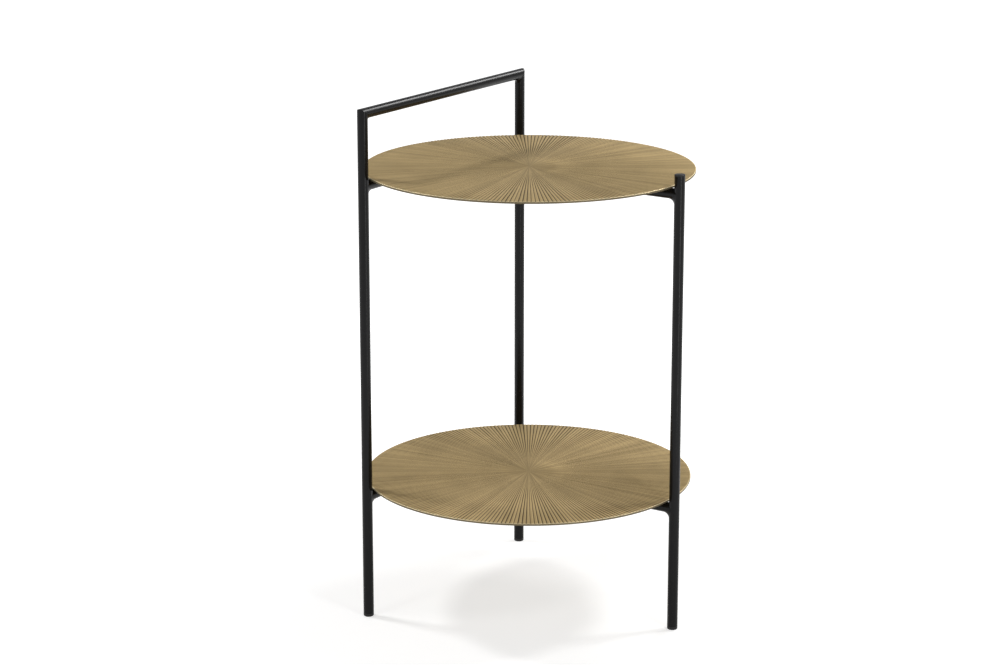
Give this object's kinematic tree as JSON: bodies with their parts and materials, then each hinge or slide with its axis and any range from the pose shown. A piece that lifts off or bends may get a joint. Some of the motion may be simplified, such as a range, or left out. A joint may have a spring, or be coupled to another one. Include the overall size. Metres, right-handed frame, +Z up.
{
  "type": "tiered side table",
  "caption": "Tiered side table: round ribbed metal trays resting loose on bars between slim tubular legs, with a bar handle joining the taller legs.",
  "frame": {"origin": "on the floor, at the middle of the table's outline seen from above", "axes": "+Z up; the short leg stands at -Y, the handle and the tall legs at +Y, +X to the right seen from the short leg"},
  "size_m": [0.4, 0.4148, 0.63],
  "materials": {
    "black_powder_coat": "satin powder coat",
    "antique_brass": "antique brass plating on cast aluminium",
    "black_plastic": "moulded",
    "clear_rubber": "soft translucent"
  },
  "bodies": {
    "frame": {"left_tall_leg": "black_powder_coat", "right_tall_leg": "black_powder_coat", "short_leg": "black_powder_coat", "handle_bar": "black_powder_coat", "upper_crossbar": "black_powder_coat", "upper_spine_bar": "black_powder_coat", "lower_crossbar": "black_powder_coat", "lower_spine_bar": "black_powder_coat", "left_handle_weld": "black_powder_coat", "right_handle_weld": "black_powder_coat", "upper_left_weld": "black_powder_coat", "upper_right_weld": "black_powder_coat", "upper_front_weld": "black_powder_coat", "upper_tee_left_weld": "black_powder_coat", "upper_tee_right_weld": "black_powder_coat", "lower_left_weld": "black_powder_coat", "lower_right_weld": "black_powder_coat", "lower_front_weld": "black_powder_coat", "lower_tee_left_weld": "black_powder_coat", "lower_tee_right_weld": "black_powder_coat", "left_glide": "black_plastic", "right_glide": "black_plastic", "front_glide": "black_plastic", "short_leg_cap": "black_plastic", "upper_left_pad": "clear_rubber", "upper_right_pad": "clear_rubber", "upper_front_pad": "clear_rubber", "lower_left_pad": "clear_rubber", "lower_right_pad": "clear_rubber", "lower_front_pad": "clear_rubber"},
    "upper_tray": {"upper_tray": "antique_brass"},
    "lower_tray": {"lower_tray": "antique_brass"}
  },
  "joints": [
    {"name": "upper_tray_lift", "type": "slide", "parent": "frame", "child": "upper_tray", "axis": [0, 0, 1], "range_m": [0, 0.065]},
    {"name": "lower_tray_lift", "type": "slide", "parent": "frame", "child": "lower_tray", "axis": [0, 0, 1], "range_m": [0, 0.359]}
  ]
}
